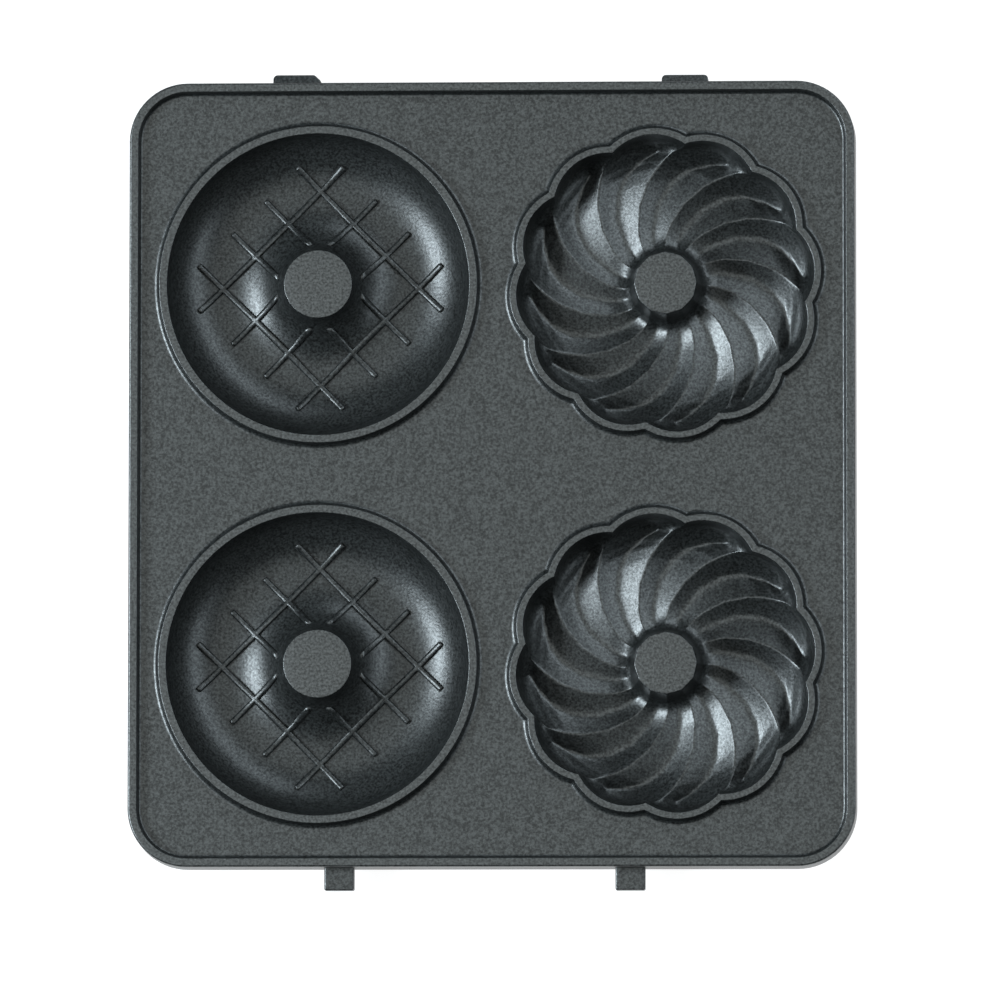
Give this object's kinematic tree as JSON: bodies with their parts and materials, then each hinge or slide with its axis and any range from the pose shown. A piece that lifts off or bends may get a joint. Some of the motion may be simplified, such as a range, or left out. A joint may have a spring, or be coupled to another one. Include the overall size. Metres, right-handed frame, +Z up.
{
  "type": "doughnut maker baking plate",
  "caption": "Die-cast baking plate with a raised rim, lattice ring cavities, lobed swirl cavities and fixing tabs, dark speckled non-stick coating.",
  "frame": {"origin": "middle of the footprint, tabs included, on the plane of the four flat lands that the plate rests on", "axes": "+Z up out of the cavities, +Y from the tongues to the back tabs, +X to the swirl cavities"},
  "size_m": [0.1408, 0.158, 0.0124],
  "materials": {
    "nonstick_coating": "satin non-stick coating, dark grey with a fine light speckle, over cast aluminium"
  },
  "bodies": {
    "root": {"baking_plate": "nonstick_coating"}
  },
  "joints": []
}
